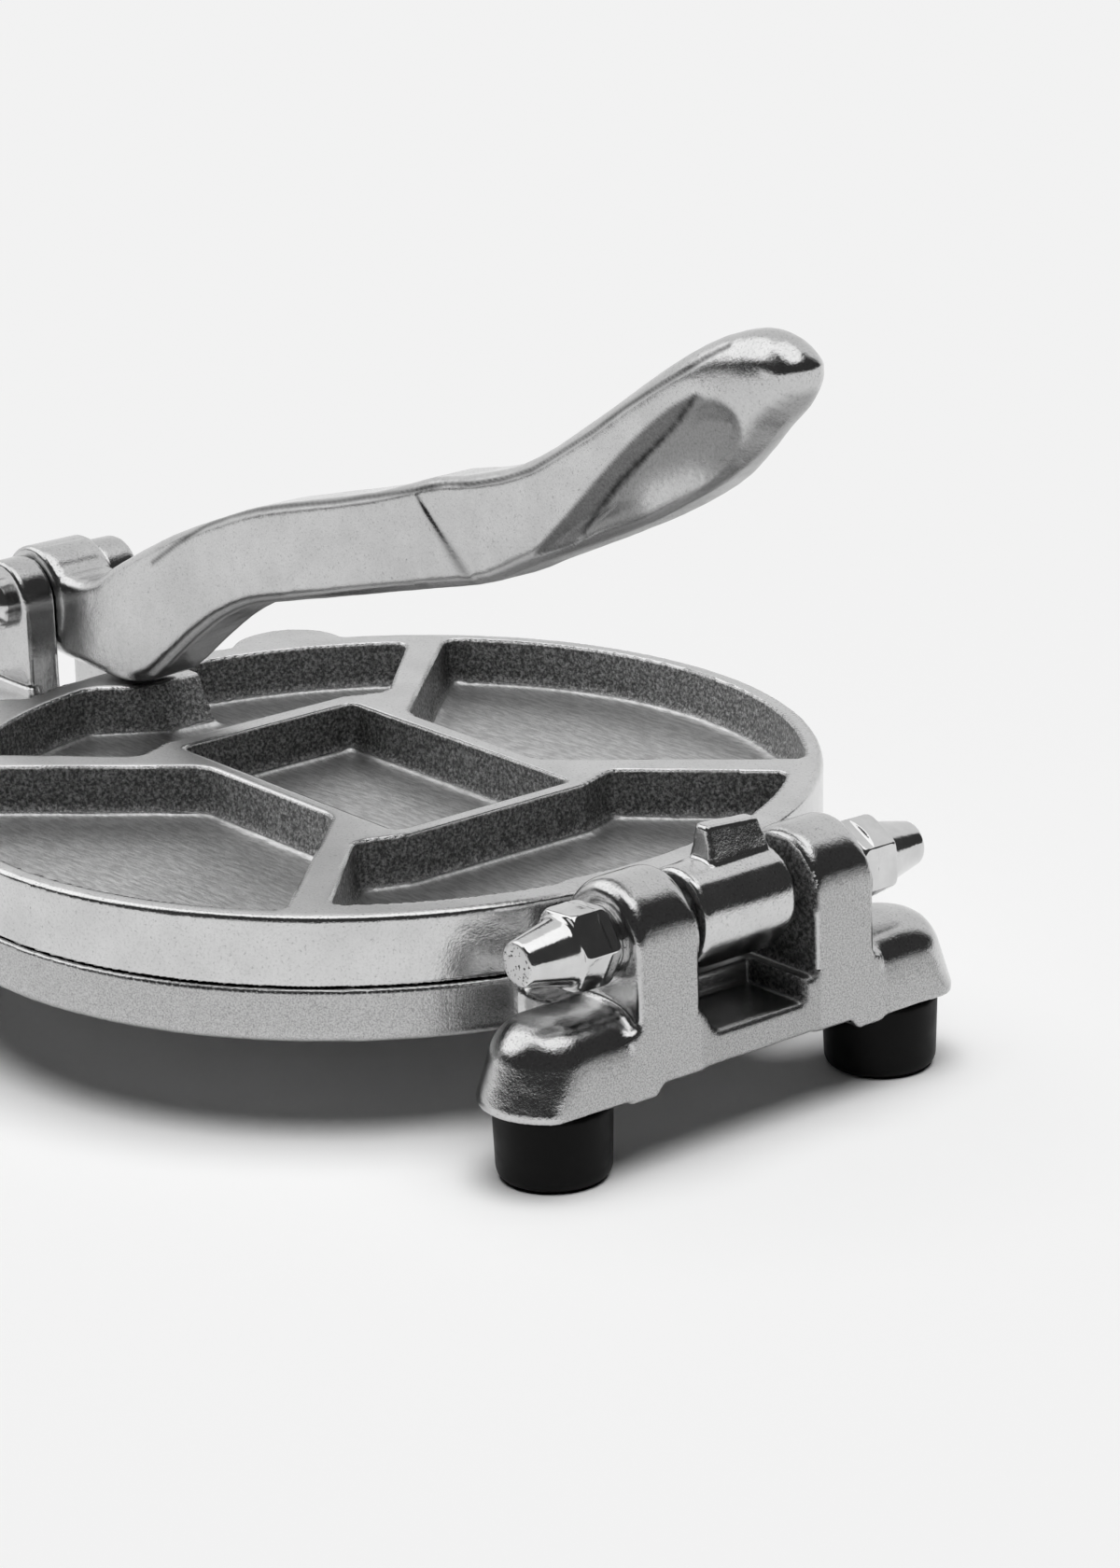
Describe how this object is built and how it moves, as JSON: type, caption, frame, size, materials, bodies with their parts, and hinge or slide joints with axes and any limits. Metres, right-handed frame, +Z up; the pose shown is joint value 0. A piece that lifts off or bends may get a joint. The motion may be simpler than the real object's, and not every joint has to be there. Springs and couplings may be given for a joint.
{
  "type": "tortilla press",
  "caption": "Cast metal tortilla press: two round plates on a barrel hinge, a ribbed lid, and a lever whose nose presses on the lid; stands on rubber feet.",
  "frame": {"origin": "on the table, under the middle of the closed press, halfway between the lever's tip and the outer face of the lever bracket", "axes": "+X from the lever's pivot to the plate hinge, along the lever; +Y along the hinge rod; +Z up"},
  "size_m": [0.2839, 0.2, 0.1693],
  "materials": {
    "base_metal": "sand-cast, top faces polished, outer hinge face sanded satin",
    "lid_metal": "rim, ribs and edge polished, pocket walls rough as cast, floors satin",
    "lever_metal": "cast and hand polished, brightest on the end of the grip",
    "rod_steel": "plain turned rod",
    "nut_metal": "polished, with a pitted end",
    "pin_steel": "polished head",
    "foot_rubber": "black satin rubber",
    "screw_steel": "zinc plated"
  },
  "bodies": {
    "base": {"base_casting": "base_metal", "hinge_rod": "rod_steel", "near_cone_nut": "nut_metal", "far_cone_nut": "nut_metal", "lever_pin": "pin_steel", "lever_pin_cap": "pin_steel", "hinge_near_foot": "foot_rubber", "hinge_far_foot": "foot_rubber", "lever_near_foot": "foot_rubber", "lever_far_foot": "foot_rubber", "hinge_near_foot_washer": "screw_steel", "hinge_far_foot_washer": "screw_steel", "lever_near_foot_washer": "screw_steel", "lever_far_foot_washer": "screw_steel", "hinge_near_foot_screw": "screw_steel", "hinge_far_foot_screw": "screw_steel", "lever_near_foot_screw": "screw_steel", "lever_far_foot_screw": "screw_steel"},
    "lid": {"lid_casting": "lid_metal"},
    "lever": {"lever_casting": "lever_metal"}
  },
  "joints": [
    {"name": "lever_hinge", "type": "hinge", "parent": "base", "child": "lever", "pos_m": [-0.13065, 0, 0.0638], "axis": [0, -1, 0], "range_deg": [0, 170]},
    {"name": "lid_hinge", "type": "hinge", "parent": "base", "child": "lid", "pos_m": [0.11065, 0, 0.0472], "axis": [0, 1, 0], "range_deg": [0, 190]}
  ],
  "couplings": [
    {"joint": "lid_hinge", "follows": "lever_hinge", "ratio": 0.11}
  ]
}
